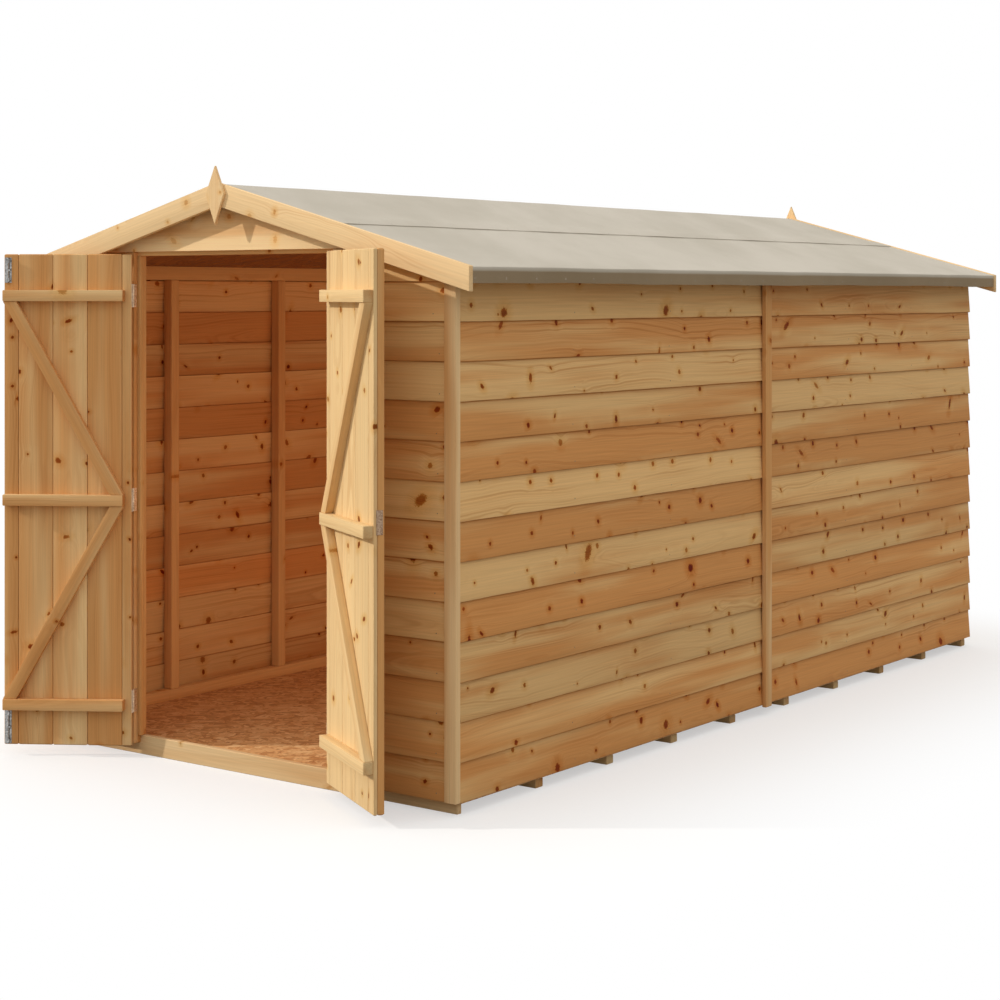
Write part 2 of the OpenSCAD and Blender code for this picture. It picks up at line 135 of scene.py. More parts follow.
# Nails: radius and height of a head, rise over a board's lip, scatter, spacing on the felt, distance in
NAIL_RADIUS = 0.0020
NAIL_HEIGHT = 0.0006
NAIL_RISE = 0.022
NAIL_SCATTER = 0.006
CLOUT_RADIUS = 0.0040
CLOUT_HEIGHT = 0.0005
CLOUT_SPACING = 0.15
CLOUT_IN = 0.014

# A nail head's section in radii and heights from the axis, its sides, and a way that no nail points
HEAD_SECTION = np.array([[1.0, -1.0], [1.0, 0.4], [0.6, 1.0]])
HEAD_SIDES = 8
ASLANT = np.array([0.31, 0.17, 0.94])


def solids_of(node):
    """Corner points of each solid in a CAD node. Corners that fall on one point of a fine grid are merged,
    and those that share a triangle take the lowest label among them until no label changes."""
    mesh = frame["nodes"][node].data
    places = np.empty(len(mesh.vertices) * 3, np.float32)
    mesh.vertices.foreach_get("co", places)
    places = places.reshape(-1, 3).astype(float)
    keys, where = np.unique(np.round(places / MERGE).astype(int), axis=0, return_inverse=True)
    where = where.ravel()
    corners = np.zeros((len(keys), 3))
    corners[where] = places
    mesh.calc_loop_triangles()
    loops = np.empty(len(mesh.loop_triangles) * 3, np.int32)
    mesh.loop_triangles.foreach_get("vertices", loops)
    triangles = where[loops].reshape(-1, 3)
    label = np.arange(len(keys))
    settled = False
    while not settled:
        lowest = np.repeat(label[triangles].min(1), 3)
        spread = label.copy()
        np.minimum.at(spread, triangles.ravel(), lowest)
        settled = bool((spread == label).all())
        label = spread
    return [corners[label == one] for one in np.unique(label)]


def box_of(node):
    """Lowest and highest corner of a CAD node."""
    low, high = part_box(node)
    return np.array(low), np.array(high)


def points_at(*axes):
    """Points from their coordinates, each of which is spread over the shape of the others."""
    return np.stack(np.broadcast_arrays(*axes), -1)


def linked(name, data):
    """A new object for the data, in the scene."""
    made = bpy.data.objects.new(name, data)
    bpy.context.scene.collection.objects.link(made)
    return made


def unit(v):
    """A vector divided by its length, along the last axis."""
    return v / np.linalg.norm(v, axis=-1, keepdims=True)


def ends_of(corners, along=None):
    """First and last outline of a straight solid. The corners are split at the middle of the long axis, and
    each half is put in order of its angle round that axis, both from neighbouring corners."""
    centre = corners.mean(0)
    if along is None:
        along = np.linalg.svd(corners - centre)[2][0]
    order = np.argsort((corners - centre) @ along)
    half = len(corners) // 2
    first = corners[order[:half]]
    last = corners[order[half:]]
    along = unit(along)
    sides = first[1:] - first[0]
    side = sides[np.argmin(np.linalg.norm(sides, axis=1))]
    across = unit(side - along * (side @ along))
    up = np.cross(along, across)

    def in_order(outline):
        off = outline - outline.mean(0)
        return outline[np.argsort(np.arctan2(off @ up, off @ across))]

    first = in_order(first)
    last = in_order(last)
    flat = (last - last.mean(0)) - (first[0] - first.mean(0))
    flat = flat - np.outer(flat @ along, along)
    last = np.roll(last, -int(np.argmin(np.linalg.norm(flat, axis=1))), 0)
    return first, last


def eased(outline, ease, inset=0.0):
    """An outline with eased corners: corner c gives the points c + e((1-t)^2 b + t^2 a), with b and a the
    unit vectors to the corners before and after it. An inset first moves each corner in along both."""
    before = unit(np.roll(outline, 1, 0) - outline)
    after = unit(np.roll(outline, -1, 0) - outline)
    corners = outline + inset * (before + after)
    t = np.linspace(0, 1, EASE_STEPS)[:, None]
    turned = corners[:, None] + ease * ((1 - t) ** 2 * before[:, None] + t**2 * after[:, None])
    return turned.reshape(-1, 3)


def rings_between(first, last, ease):
    """Rings of a straight timber: the eased first outline goes over into the last one in a straight line,
    and the two end rings are drawn in by the easing."""
    length = np.linalg.norm(last.mean(0) - first.mean(0))
    count = max(2, int(length / RING_SPACING) + 1)
    inner = np.linspace(ease / length, 1 - ease / length, count)
    share = np.concatenate([[0], inner, [1]])[:, None, None]
    rings = eased(first, ease) * (1 - share) + eased(last, ease) * share
    rings[0] = eased(first, ease, ease)
    rings[-1] = eased(last, ease, ease)
    return rings


def skin(rings):
    """Closed surface over rings of points: quads join each ring to the next, a fan closes each end at its
    middle, and all faces are turned round if the volume comes out negative."""
    rows, cols = rings.shape[:2]
    here = np.arange(rows * cols).reshape(rows, cols)
    beside = np.roll(here, -1, 1)
    quads = np.stack([here[:-1], beside[:-1], beside[1:], here[1:]], -1).reshape(-1, 4)
    low = np.full(cols, rows * cols)
    fans = [np.stack([beside[0], here[0], low], -1), np.stack([here[-1], beside[-1], low + 1], -1)]
    tris = np.concatenate(fans)
    points = np.concatenate([rings.reshape(-1, 3), rings[:1].mean(1), rings[-1:].mean(1)])
    facets = points[np.concatenate([tris, quads[:, :3], quads[:, [0, 2, 3]]])]
    volume = np.einsum("ij,ij->", facets[:, 0], np.cross(facets[:, 1], facets[:, 2]))
    if volume < 0:
        quads = quads[:, ::-1]
        tris = tris[:, ::-1]
    return points, quads, tris


def ripple(x, dice, spans, sways):
    """Sum of sines of the given spans and heights at the distances x, each from a random phase."""
    phases = dice.uniform(0, 1, len(spans))
    turns = x[..., None] / np.asarray(spans) + phases
    return (np.sin(FULL_TURN * turns) * np.asarray(sways)).sum(-1)


class Heap:
    """Closed surfaces gathered into one piece. Every point keeps its grain, which is its place along and
    across its log, in metres from a random start, and its tone: lightness, warmth and number."""

    def __init__(self, name):
        self.name = name
        self.dice = np.random.default_rng(list(name.encode()))
        self.parts = []
        self.count = 0

    def add(self, surface, grain, tone):
        points, quads, tris = surface
        tones = np.broadcast_to(np.asarray(tone, float), points.shape)
        self.parts.append((points, quads + self.count, tris + self.count, grain, tones))
        self.count += len(points)

    def from_log(self, reach):
        """A random start along the log, at a random bearing and distance from its heart."""
        bearing = self.dice.uniform(0, FULL_TURN)
        away = self.dice.uniform(*reach)
        along = self.dice.uniform(0, LOG_RUN)
        return np.array([along, away * math.cos(bearing), away * math.sin(bearing)])

    def timber(self, corners, warm, along=None, grain_way=None, ease=EASE, reach=TIMBER_REACH,
               spread=WARMTH_SPREAD, light=0.0):
        """One straight timber with eased edges from the corners of its CAD solid. Across the grain, its axes
        lie along its widest side and square to that. Its ends are darker, unless its grain has a set way."""
        first, last = ends_of(corners, along)
        rings = rings_between(first, last, ease)
        surface = skin(rings)
        way = unit(last.mean(0) - first.mean(0)) if grain_way is None else grain_way
        sides = np.concatenate([np.roll(first, -1, 0) - first, last - first])
        sides = sides - np.outer(sides @ way, way)
        across = unit(sides[np.argmax(np.linalg.norm(sides, axis=1))])
        axes = np.stack([way, across, np.cross(way, across)])
        grain = (surface[0] - corners.mean(0)) @ axes.T + self.from_log(reach)
        lightness = self.dice.normal(light, LIGHT_SPREAD)
        warmth = np.clip(self.dice.normal(warm, spread), 0, 1)
        tones = np.tile((lightness, warmth, self.dice.uniform()), (len(grain), 1))
        if grain_way is None:
            around = rings.shape[1]
            tones[:around] += END_TONE
            tones[-around - 2:] += END_TONE
        self.add(surface, grain, tones)

    def piece(self, finish, slot, body, *nodes):
        """Puts the gathered surfaces into a mesh with their grain and tone, and sets it on its body."""
        points, quads, tris, grain, tone = zip(*self.parts)
        mesh = bpy.data.meshes.new(self.name)
        faces = np.concatenate(quads).tolist() + np.concatenate(tris).tolist()
        mesh.from_pydata(np.concatenate(points), [], faces)
        for label, values in (("grain", grain), ("tone", tone)):
            layer = mesh.attributes.new(label, "FLOAT_VECTOR", "POINT")
            layer.data.foreach_set("vector", np.concatenate(values).astype(np.float32).ravel())
        mesh.polygons.foreach_set("use_smooth", np.ones(len(faces), bool))
        mesh.set_sharp_from_angle(angle=CREASE_ANGLE)
        mesh.materials.append(finish)
        made = linked(self.name, mesh)
        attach(made, body)
        if nodes:
            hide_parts(*nodes)


class Bench:
    """A node tree with short ways to add nodes, from sockets or plain values to output sockets."""

    def __init__(self, tree):
        self.tree = tree

    def add(self, kind, feeds, **settings):
        node = self.tree.nodes.new("ShaderNode" + kind)
        for key, value in settings.items():
            setattr(node, key, value)
        for key, value in feeds.items():
            self.feed(node.inputs[key], value)
        return node.outputs

    def feed(self, socket, value):
        if isinstance(value, bpy.types.NodeSocket):
            self.tree.links.new(value, socket)
        else:
            socket.default_value = value

    def number(self, how, *values):
        return self.add("Math", dict(enumerate(values)), operation=how)[0]

    def sum(self, a, b):
        return self.number("ADD", a, b)

    def less(self, a, b):
        return self.number("SUBTRACT", a, b)

    def times(self, a, b):
        return self.number("MULTIPLY", a, b)

    def plus_times(self, a, b, c):
        return self.number("MULTIPLY_ADD", a, b, c)

    def most(self, a, b):
        return self.number("MAXIMUM", a, b)

    def part_of(self, a, times):
        return self.number("FRACT", self.times(a, times))

    def off_middle(self, a):
        return self.less(a, 0.5)

    def between(self, share, ends):
        return self.plus_times(share, ends[1] - ends[0], ends[0])

    def held(self, a):
        return self.add("Clamp", {"Value": a})[0]

    def rise(self, value, limits):
        feeds = {"Value": value, "From Min": limits[0], "From Max": limits[1]}
        return self.add("MapRange", feeds, interpolation_type="SMOOTHSTEP")["Result"]

    def vector(self, how, *values):
        return self.add("VectorMath", dict(enumerate(values)), operation=how)["Vector"]

    def scaled(self, a, share):
        return self.add("VectorMath", {0: a, "Scale": share}, operation="SCALE")["Vector"]

    def length(self, a):
        return self.add("VectorMath", {0: a}, operation="LENGTH")["Value"]

    def turned(self, place, angle):
        feeds = {"Vector": place, "Angle": angle}
        return self.add("VectorRotate", feeds, rotation_type="Z_AXIS")[0]

    def split(self, a):
        return self.add("SeparateXYZ", {0: a})

    def joined(self, x, y, z):
        return self.add("CombineXYZ", {0: x, 1: y, 2: z})[0]

    def noise(self, place, scale, detail=2.0, rough=0.5):
        feeds = {"Vector": place, "Scale": scale, "Detail": detail, "Roughness": rough}
        return self.add("TexNoise", feeds)["Fac"]

    def drawn_noise(self, place, paces, detail, rough=0.5):
        return self.noise(self.vector("MULTIPLY", place, paces), 1.0, detail, rough)

    def line_noise(self, value, scale, detail=2.0):
        feeds = {"W": value, "Scale": scale, "Detail": detail}
        return self.add("TexNoise", feeds, noise_dimensions="1D")["Fac"]

    def cells(self, place, random=1.0, feature="F1"):
        feeds = {"Vector": place, "Scale": 1.0, "Randomness": random}
        return self.add("TexVoronoi", feeds, voronoi_dimensions="2D", feature=feature)

    def blend(self, share, first, second, how="MIX"):
        feeds = {0: share, 6: first, 7: second}
        return self.add("Mix", feeds, data_type="RGBA", blend_type=how)[2]

    def bump(self, height, strength, distance):
        feeds = {"Strength": strength, "Distance": distance, "Height": height}
        return self.add("Bump", feeds)[0]

    def own(self, label):
        return self.add("Attribute", {}, attribute_name=label)["Vector"]

    def place(self, kind="Object"):
        return self.add("TexCoord", {})[kind]

    def seen(self):
        rays = self.add("LightPath", {})
        straight = self.most(rays["Is Camera Ray"], rays["Is Glossy Ray"])
        return self.most(straight, rays["Is Transmission Ray"])

    def either(self, share, first, second):
        return self.add("MixShader", {0: share, 1: first, 2: second})[0]

    def use(self, group, feeds):
        return self.add("Group", feeds, node_tree=group)


NUMBER = "NodeSocketFloat"
VECTOR = "NodeSocketVector"


def new_group(name, inputs, outputs):
    """An empty shader node group with the named inputs and outputs, and the bench to fill it."""
    tree = bpy.data.node_groups.new(name, "ShaderNodeTree")
    for label, kind in inputs.items():
        tree.interface.new_socket(label, in_out="INPUT", socket_type=kind)
    for label in outputs:
        tree.interface.new_socket(label, in_out="OUTPUT", socket_type=NUMBER)
    entry = tree.nodes.new("NodeGroupInput").outputs
    way_out = tree.nodes.new("NodeGroupOutput").inputs
    return tree, Bench(tree), entry, way_out


# Knots: scatter, turn, widths, extra height, depths of colour, limits of core and stain in knot sizes and
# of the pull on the rings in metres, and factors that make new dice of old ones
KNOT_SCATTER = 0.9
KNOT_TURN = 2.4
KNOT_WIDTHS = (0.5, 1.3)
KNOT_TALLER = 1.3
KNOT_DEPTHS = (0.55, 1.0)
CORE_LIMITS = (1.2, 0.6)
STAIN_LIMITS = (3.8, 0.7)
PULL_LIMITS = (0.055, 0.0)
HEIGHT_DICE = 23.0
DEPTH_DICE = 37.0


def knot_group():
    """Knots that run straight through the wood: the nearest point of a flat random cell pattern, stretched
    to the pace, is a knot if its cell's dice are under the share. The distance to it, in knot sizes and
    turned by the dice, gives the core and the stain round it, and in metres the pull on the rings."""
    inputs = {"Grain": VECTOR, "Rough": NUMBER, "Pace": VECTOR, "Size": VECTOR, "Share": NUMBER}
    inputs["Seed"] = NUMBER
    tree, bench, given, gives = new_group("knot_layer", inputs, ("Core", "Stain", "Pull"))
    start = bench.joined(given["Seed"], given["Seed"], 0.0)
    packed = bench.vector("ADD", bench.vector("MULTIPLY", given["Grain"], given["Pace"]), start)
    cell = bench.cells(packed, KNOT_SCATTER)
    away = bench.vector("DIVIDE", bench.vector("SUBTRACT", packed, cell["Position"]), given["Pace"])
    dice = bench.split(cell["Color"])
    turned = bench.turned(away, bench.times(bench.off_middle(dice[0]), KNOT_TURN))
    wide = bench.between(dice[1], KNOT_WIDTHS)
    odd = bench.part_of(dice[0], HEIGHT_DICE)
    odd_square = bench.times(odd, odd)
    tall = bench.plus_times(bench.times(odd_square, odd_square), KNOT_TALLER, wide)
    slim = bench.vector("MULTIPLY", given["Size"], bench.joined(wide, tall, 1.0))
    far = bench.sum(given["Rough"], bench.length(bench.vector("DIVIDE", turned, slim)))
    there = bench.number("LESS_THAN", dice[2], given["Share"])
    depth = bench.between(bench.part_of(dice[1], DEPTH_DICE), KNOT_DEPTHS)
    bench.feed(gives["Core"], bench.times(bench.times(bench.rise(far, CORE_LIMITS), depth), there))
    bench.feed(gives["Stain"], bench.times(bench.times(bench.rise(far, STAIN_LIMITS), depth), there))
    bench.feed(gives["Pull"], bench.times(bench.rise(bench.length(away), PULL_LIMITS), there))
    return tree


# Small and large knots: cells per metre along the grain and across it, size in metres, and start of the dice
PIN_KNOTS = {"Pace": (5.6, 15.0, 0.0), "Size": (0.0070, 0.0066, 1.0), "Seed": 3.1}
BOLE_KNOTS = {"Pace": (2.1, 6.0, 0.0), "Size": (0.0120, 0.0125, 1.0), "Seed": 11.7}
BOLE_SHARE = 0.8
PIN_PULL = 0.006
BOLE_PULL = 0.017
KNOT_ROUGH_PACE = 190.0
KNOT_ROUGHNESS = (-0.45, 0.45)

# The heart's wander across the log: start and pace of its noise along the log, and reach in metres
WANDER_Y = (0.0, 0.9, 0.09)
WANDER_Z = (40.0, 0.7, 0.07)

# Year rings: wiggle; pace, detail, limits and weight of the broad and the fine ones; patches where they show
WIGGLE_PACES = (5.0, 24.0, 24.0)
WIGGLE = 0.008
BROAD_RINGS = (95.0, 2.0, (0.46, 0.74), 0.75)
FINE_RINGS = (330.0, 1.0, (0.40, 0.72), 0.35)
PATCH_PACES = (1.7, 9.0, 9.0)
PATCH_LIMITS = (0.40, 0.66)
PATCH_SHOWS = (0.25, 1.0)

# Fibres and the drift of colour: paces and roughness, and how far a knot's pull turns the drift
FIBRE_PACES = (3.0, 210.0, 210.0)
FIBRE_ROUGH = 0.6
DRIFT_PACES = (0.9, 13.0, 13.0)
DRIFT_ROUGH = 0.45
DRIFT_PULL = 6.0


def pine_group(knots):
    """Figure of sawn pine. The year rings are a noise of the distance from the log's heart, which wanders
    along the log and is pulled aside round each knot; they show in patches. Fibres are a noise stretched
    along the grain, and a slower one gives the drift from sapwood to heartwood."""
    inputs = {"Grain": VECTOR, "Knots": NUMBER}
    outputs = ("Ring", "Fibre", "Drift", "Core", "Stain")
    tree, bench, given, gives = new_group("pine_figure", inputs, outputs)
    grain = given["Grain"]
    x, y, z = bench.split(grain)
    rough = bench.between(bench.noise(grain, KNOT_ROUGH_PACE, 1.0), KNOT_ROUGHNESS)
    shared = {"Grain": grain, "Rough": rough}
    pins = bench.use(knots, {**shared, **PIN_KNOTS, "Share": given["Knots"]})
    boles = bench.use(knots, {**shared, **BOLE_KNOTS, "Share": bench.times(given["Knots"], BOLE_SHARE)})
    pull = bench.sum(bench.times(pins["Pull"], PIN_PULL), bench.times(boles["Pull"], BOLE_PULL))

    def wandering(across, start, pace, reach):
        sway = bench.line_noise(bench.sum(x, start), pace)
        return bench.plus_times(sway, reach, bench.sum(across, -reach / 2))

    radius = bench.length(bench.joined(0.0, wandering(y, *WANDER_Y), wandering(z, *WANDER_Z)))
    wiggle = bench.drawn_noise(grain, WIGGLE_PACES, 1.0)
    radius = bench.sum(bench.plus_times(wiggle, WIGGLE, radius), pull)

    def rings(pace, detail, limits, weight):
        return bench.times(bench.rise(bench.line_noise(radius, pace, detail), limits), weight)

    both = bench.held(bench.sum(rings(*BROAD_RINGS), rings(*FINE_RINGS)))
    patch = bench.rise(bench.drawn_noise(grain, PATCH_PACES, 1.0), PATCH_LIMITS)
    drift = bench.drawn_noise(grain, DRIFT_PACES, 2.0, DRIFT_ROUGH)
    bench.feed(gives["Ring"], bench.times(both, bench.between(patch, PATCH_SHOWS)))
    bench.feed(gives["Fibre"], bench.drawn_noise(grain, FIBRE_PACES, 2.0, FIBRE_ROUGH))
    bench.feed(gives["Drift"], bench.less(drift, bench.times(pull, DRIFT_PULL)))
    bench.feed(gives["Core"], bench.most(pins["Core"], boles["Core"]))
    bench.feed(gives["Stain"], bench.most(pins["Stain"], boles["Stain"]))
    return tree


def srgb(red, green, blue):
    """A colour written in display values from 0 to 255, as the linear colour that shaders take."""
    share = np.array([red, green, blue]) / 255
    linear = np.where(share <= 0.04045, share / 12.92, ((share + 0.055) / 1.055) ** 2.4)
    return (*linear.tolist(), 1.0)


def new_finish(name, roughness=0.6, specular=0.3, metallic=0.0):
    """A material with one Principled shader, its bench and the shader's inputs."""
    material = bpy.data.materials.new(name)
    material.use_nodes = True
    shader = material.node_tree.nodes["Principled BSDF"].inputs
    shader["Roughness"].default_value = roughness
    shader["Specular IOR Level"].default_value = specular
    shader["Metallic"].default_value = metallic
    return material, Bench(material.node_tree), shader


def coat(bench, shader, colour, rough, ends, height, bump):
    """Feeds a shader its colour, its roughness between two ends, and its bump from a height."""
    bench.feed(shader["Base Color"], colour)
    bench.feed(shader["Roughness"], bench.between(rough, ends))
    bench.feed(shader["Normal"], bench.bump(height, *bump))


# Wood: shine, limits from sap to heart, least show of the rings, shades of fibres and timbers, powers of the
# stain and the core, roughness, bump, and tints of rings and knots
WOOD_SHINE = 0.08
HEART_LIMITS = (0.24, 0.76)
RING_LEAST = 0.5
FIBRE_SHADE = 0.3
TIMBER_SHADE = 0.08
STAIN_POWER = 0.35
CORE_POWER = 1.3
WOOD_ROUGHNESS = (0.5, 0.72)
WOOD_BUMP = (0.3, 0.0006)
RING_TINT = (0.68, 0.48, 0.32, 1.0)
KNOT_TINT = (0.42, 0.24, 0.14, 1.0)


def wood(name, sap, heart, figure, drift, knots, knot):
    """Sawn pine: sapwood goes over into heartwood where the timber's warmth and the drift pass a limit, the
    rings darken it, the knots raise its colour to a power, and fibres roughen it. Each timber's own number
    sets how far its rings show."""
    material, bench, shader = new_finish(name, specular=WOOD_SHINE)
    lightness, warm, number = bench.split(bench.own("tone"))
    shape = bench.use(pine, {"Grain": bench.own("grain"), "Knots": knots})
    warmth = bench.plus_times(bench.off_middle(shape["Drift"]), drift, warm)
    base = bench.blend(bench.rise(warmth, HEART_LIMITS), sap, heart)
    shows = bench.times(shape["Ring"], bench.plus_times(number, figure, figure * RING_LEAST))
    ringed = bench.blend(shows, base, RING_TINT, "MULTIPLY")
    shade = bench.plus_times(lightness, TIMBER_SHADE, 1.0)
    streaked = bench.scaled(ringed, bench.plus_times(bench.off_middle(shape["Fibre"]), FIBRE_SHADE, shade))
    power = bench.plus_times(shape["Core"], CORE_POWER * knot, 1.0)
    power = bench.plus_times(shape["Stain"], STAIN_POWER, power)
    soaked = bench.add("Gamma", {"Color": streaked, "Gamma": power})[0]
    knotted = bench.blend(bench.times(shape["Core"], knot), soaked, KNOT_TINT, "MULTIPLY")
    coat(bench, shader, knotted, shape["Fibre"], WOOD_ROUGHNESS, shape["Fibre"], WOOD_BUMP)
    return material


# Strands: paces along and across, sway, limits of an edge, angle and dice of each layer, patches where the
# next layer lies on top, limits of the shades, roughness and bump
STRAND_PACES = (14.0, 62.0)
STRAND_SWAY_PACE = 30.0
STRAND_SWAY = 0.35
STRAND_EDGE = (0.07, 0.0)
STRAND_LAYERS = ((0.25, 3.0), (1.35, 17.0), (2.4, 31.0))
LAYER_PACE = 26.0
LAYER_STEPS = ((0.0, 3.0, 0.0), (7.0, 3.0, 0.0))
LAYER_LIMITS = (0.47, 0.53)
DARK_LIMITS = (0.05, 0.55)
PALE_LIMITS = (0.55, 1.0)
EDGE_SHADE = 0.55
STRAND_ROUGHNESS = (0.5, 0.7)
STRAND_BUMP = (0.4, 0.0008)


def strand_group():
    """One layer of wood strands: a random cell pattern, turned by the angle and stretched along the strands.
    The cell's dice give the strand's shade, and the gap between the two nearest strands its edge."""
    inputs = {"Place": VECTOR, "Angle": NUMBER, "Seed": NUMBER}
    tree, bench, given, gives = new_group("strand_layer", inputs, ("Shade", "Edge"))
    x, y, _ = bench.split(bench.turned(given["Place"], given["Angle"]))
    sway = bench.times(bench.noise(given["Place"], STRAND_SWAY_PACE), STRAND_SWAY)
    along = bench.plus_times(x, STRAND_PACES[0], given["Seed"])
    packed = bench.joined(along, bench.plus_times(y, STRAND_PACES[1], sway), 0.0)
    gap = bench.cells(packed, feature="DISTANCE_TO_EDGE")["Distance"]
    bench.feed(gives["Shade"], bench.split(bench.cells(packed)["Color"])[0])
    bench.feed(gives["Edge"], bench.rise(gap, STRAND_EDGE))
    return tree


def strand_board(name, pale, mid, dark):
    """Pressed strand board: three layers of strands at different angles, each showing where its strands lie
    higher than the others, with dark edges and fine fibre."""
    material, bench, shader = new_finish(name)
    place = bench.place()
    layers = [bench.use(strands, {"Place": place, "Angle": angle, "Seed": seed})
              for angle, seed in STRAND_LAYERS]
    shade = layers[0]["Shade"]
    edge = layers[0]["Edge"]
    for step, layer in zip(LAYER_STEPS, layers[1:]):
        over = bench.rise(bench.noise(bench.vector("ADD", place, step), LAYER_PACE), LAYER_LIMITS)
        shade = bench.plus_times(over, bench.less(layer["Shade"], shade), shade)
        edge = bench.plus_times(over, bench.less(layer["Edge"], edge), edge)
    colour = bench.blend(bench.rise(shade, DARK_LIMITS), dark, mid)
    colour = bench.blend(bench.rise(shade, PALE_LIMITS), colour, pale)
    colour = bench.blend(bench.times(edge, EDGE_SHADE), colour, dark, "MULTIPLY")
    coat(bench, shader, colour, shade, STRAND_ROUGHNESS, bench.less(shade, edge), STRAND_BUMP)
    return material


# Felt: dullness, grit, bands that run aslant, blotches, specks, and the spread of the painted shade on the
# turned-down edge
FELT_DULL = (0.9, 0.2)
GRIT_PACE = 520.0
GRIT_ROUGH = 0.7
GRIT_LIMITS = (0.56, 0.7)
GRIT_SHARE = 0.35
BAND_PACES = (1.6, 2.2)
BAND_SLANT = 1.5
BAND_ROUGH = 0.55
BAND_LIMITS = (0.3, 0.7)
BLOTCH_PACE = 9.0
BLOTCH_LIMITS = (0.45, 0.75)
BLOTCH_SHARE = 0.06
DROP_SHADE_SPREAD = 0.15
FELT_ROUGHNESS = (0.75, 0.95)
FELT_BUMP = (0.5, 0.0007)


def mineral_felt(name, pale, grey, speck, drop_shade):
    """Mineral felt: pale grit with darker specks, clouded in soft bands that run aslant down the roof. Where
    it is turned down at the eaves, as its tone says, it is tinted darker and browner in blotches: painted
    shade and painted brown light thrown back from the walls."""
    material, bench, shader = new_finish(name, *FELT_DULL)
    place = bench.place()
    grit = bench.noise(place, GRIT_PACE, 2.0, GRIT_ROUGH)
    x, y, z = bench.split(place)
    aslant = bench.plus_times(x, BAND_SLANT, bench.times(y, BAND_PACES[1]))
    bands = bench.noise(bench.joined(bench.times(x, BAND_PACES[0]), aslant, z), 1.0, 4.0, BAND_ROUGH)
    blotch = bench.noise(place, BLOTCH_PACE, 3.0)
    colour = bench.blend(bench.rise(bands, BAND_LIMITS), pale, grey)
    colour = bench.blend(bench.times(bench.rise(blotch, BLOTCH_LIMITS), BLOTCH_SHARE), colour, speck)
    colour = bench.blend(bench.times(bench.rise(grit, GRIT_LIMITS), GRIT_SHARE), colour, speck)
    turned = bench.split(bench.own("tone"))[0]
    drop_shade_share = bench.plus_times(bench.off_middle(blotch), DROP_SHADE_SPREAD, turned)
    # Painted shade and painted brown bounce light on the turned-down edge, clouded by the blotches
    colour = bench.blend(bench.times(bench.held(drop_shade_share), turned), colour, drop_shade, "MULTIPLY")
    coat(bench, shader, colour, grit, FELT_ROUGHNESS, grit, FELT_BUMP)
    return material


# Zinc: dullness, shine and metal, pace of the spangle, and pace, limits and share of the stained patches
ZINC_SHINE = (0.4, 0.5, 0.85)
SPANGLE_PACE = 260.0
PIT_PACE = 90.0
PIT_LIMITS = (0.58, 0.75)
PIT_SHARE = 0.6
ZINC_ROUGHNESS = (0.22, 0.57)
ZINC_BUMP = (0.2, 0.0003)


def zinc(name, pale, dull, stain):
    """Zinc-plated steel: a spangle of small cells, dulled in patches, with a little brown in the pits."""
    material, bench, shader = new_finish(name, *ZINC_SHINE)
    place = bench.place()
    spangle = bench.add("TexVoronoi", {"Vector": place, "Scale": SPANGLE_PACE})["Color"]
    patch = bench.noise(place, PIT_PACE, 3.0)
    colour = bench.blend(bench.split(spangle)[0], pale, dull)
    colour = bench.blend(bench.times(bench.rise(patch, PIT_LIMITS), PIT_SHARE), colour, stain)
    coat(bench, shader, colour, patch, ZINC_ROUGHNESS, patch, ZINC_BUMP)
    return material


knots = knot_group()
pine = pine_group(knots)
strands = strand_group()

HONEY = srgb(229, 188, 130)
AMBER = srgb(213, 152, 91)
STRAW = srgb(236, 203, 154)
CREAM = srgb(235, 202, 149)
TAN = srgb(216, 160, 100)
FRAME_SAP = srgb(228, 182, 122)
BEARER_SAP = srgb(222, 188, 136)
FLOOR_STRANDS = (srgb(242, 202, 146), srgb(230, 180, 122), srgb(196, 138, 84))
# Roof boards' strands, darker than the floor's: painted shade on the underside of the roof
ROOF_STRANDS_PAINTED_SHADE = (srgb(176, 124, 76), srgb(160, 106, 62), srgb(134, 86, 50))
FELT_GREYS = (srgb(196, 189, 176), srgb(184, 177, 163), srgb(160, 153, 138))
# Tint of the felt's turned-down edge: painted shade and painted brown light thrown back from the walls
FELT_DROP_SHADE = (0.55, 0.45, 0.33, 1.0)

clad_finish = wood("honey_cladding", HONEY, AMBER, figure=0.55, drift=1.9, knots=0.52, knot=1.0)
trim_finish = wood("pale_trim", STRAW, TAN, figure=0.4, drift=1.3, knots=0.34, knot=0.35)
door_finish = wood("door_pine", CREAM, TAN, figure=0.5, drift=1.1, knots=0.45, knot=1.0)
rail_finish = wood("door_rail_pine", CREAM, TAN, figure=0.5, drift=1.1, knots=0.14, knot=0.5)
frame_finish = wood("framing_pine", FRAME_SAP, AMBER, figure=0.5, drift=1.5, knots=0.22, knot=0.6)
bearer_finish = wood("bearer_pine", BEARER_SAP, TAN, figure=0.5, drift=1.5, knots=0.3, knot=1.0)
floor_finish = strand_board("floor_strand_board", *FLOOR_STRANDS)
roof_finish = strand_board("roof_strand_board_painted_shade", *ROOF_STRANDS_PAINTED_SHADE)
felt_finish = mineral_felt("grey_felt", *FELT_GREYS, FELT_DROP_SHADE)
zinc_finish = zinc("zinc_plate", srgb(186, 186, 184), srgb(120, 120, 118), srgb(84, 74, 64))
nail_finish = zinc("dull_zinc", srgb(150, 134, 112), srgb(128, 112, 90), srgb(104, 84, 62))
hinge_finish = zinc("yellow_zinc_plate", srgb(226, 206, 180), srgb(190, 166, 138), srgb(92, 58, 36))
lock_finish = zinc("worn_plate", srgb(172, 146, 122), srgb(128, 98, 74), srgb(88, 54, 36))


def timbers(name, finish, slot, body, nodes, warm=0.35, ease=EASE):
    """A piece with one eased timber for each solid of the CAD nodes that it stands for."""
    heap = Heap(name)
    for node in nodes:
        for corners in solids_of(node):
            heap.timber(corners, warm, ease=ease)
    heap.piece(finish, slot, body, *nodes)


